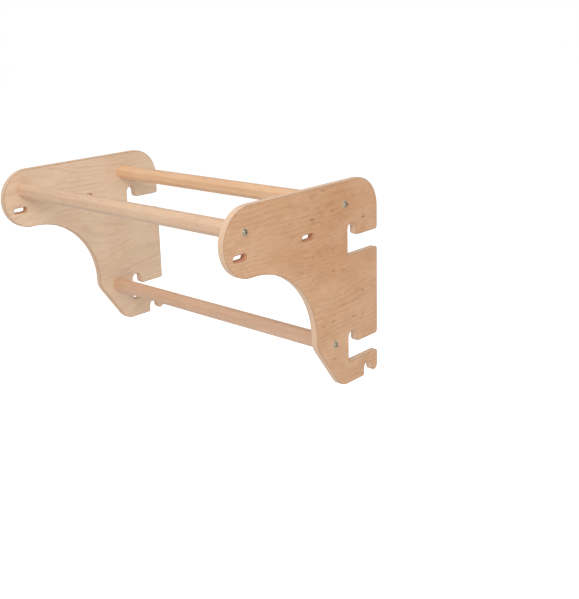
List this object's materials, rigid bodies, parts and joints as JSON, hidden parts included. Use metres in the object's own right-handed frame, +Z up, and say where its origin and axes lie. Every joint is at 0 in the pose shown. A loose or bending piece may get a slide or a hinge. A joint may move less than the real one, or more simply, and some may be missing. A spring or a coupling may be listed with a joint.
{
  "type": "pull up bar",
  "caption": "Pull up bar that hooks on wall bars: plywood side panels with hook slots and strap slots carry eight-sided wooden rungs.",
  "frame": {"origin": "on the axis of the upper hook seats, half way between the two side panels", "axes": "+X runs across the bar along the rungs, +Y points back towards the wall bars, +Z up"},
  "size_m": [0.7512, 0.4629, 0.445],
  "materials": {
    "panel_plywood": "birch plywood, clear satin lacquer, pale edge with thin dark plies",
    "rung_wood": "planed hardwood with softened edges, clear satin lacquer, grain along the rung",
    "zinc_steel": "zinc plated steel",
    "insert_brass": "plain brass"
  },
  "bodies": {
    "root": {"left_side_panel": "panel_plywood", "right_side_panel": "panel_plywood", "front_rung": "rung_wood", "rear_rung": "rung_wood", "lower_rung": "rung_wood", "bolt_front_left": "zinc_steel", "bolt_front_right": "zinc_steel", "bolt_rear_left": "zinc_steel", "bolt_rear_right": "zinc_steel", "bolt_lower_left": "zinc_steel", "bolt_lower_right": "zinc_steel", "washer_front_left": "zinc_steel", "washer_front_right": "zinc_steel", "washer_rear_left": "zinc_steel", "washer_rear_right": "zinc_steel", "washer_lower_left": "zinc_steel", "washer_lower_right": "zinc_steel", "insert_front_left": "insert_brass", "insert_front_right": "insert_brass", "insert_rear_left": "insert_brass", "insert_rear_right": "insert_brass", "insert_lower_left": "insert_brass", "insert_lower_right": "insert_brass"}
  },
  "joints": []
}
